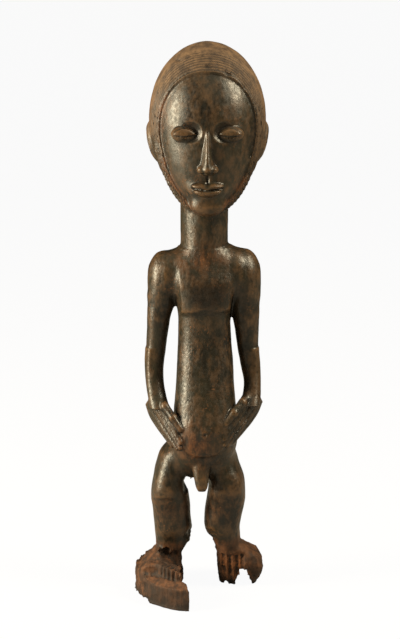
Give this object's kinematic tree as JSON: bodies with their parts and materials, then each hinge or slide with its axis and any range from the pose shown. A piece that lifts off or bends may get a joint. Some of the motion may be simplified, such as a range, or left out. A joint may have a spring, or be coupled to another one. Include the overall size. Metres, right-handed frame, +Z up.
{
  "type": "hemba ancestor figure",
  "caption": "Carved dark wooden standing male figure with a large oval head, hands on the belly, bent knees, and worn feet on part of a round base.",
  "frame": {"origin": "on the ground, under the middle of the figure's bounding box", "axes": "+Z up from the feet to the crown, -Y is the way the figure looks, +X to the figure's left hand"},
  "size_m": [0.1711, 0.1688, 0.6999],
  "materials": {
    "carved_wood": "dense hardwood with a dark handled patina, glossy on the body and dry and worn at the crown and the feet"
  },
  "bodies": {
    "root": {"carved_figure": "carved_wood"}
  },
  "joints": []
}
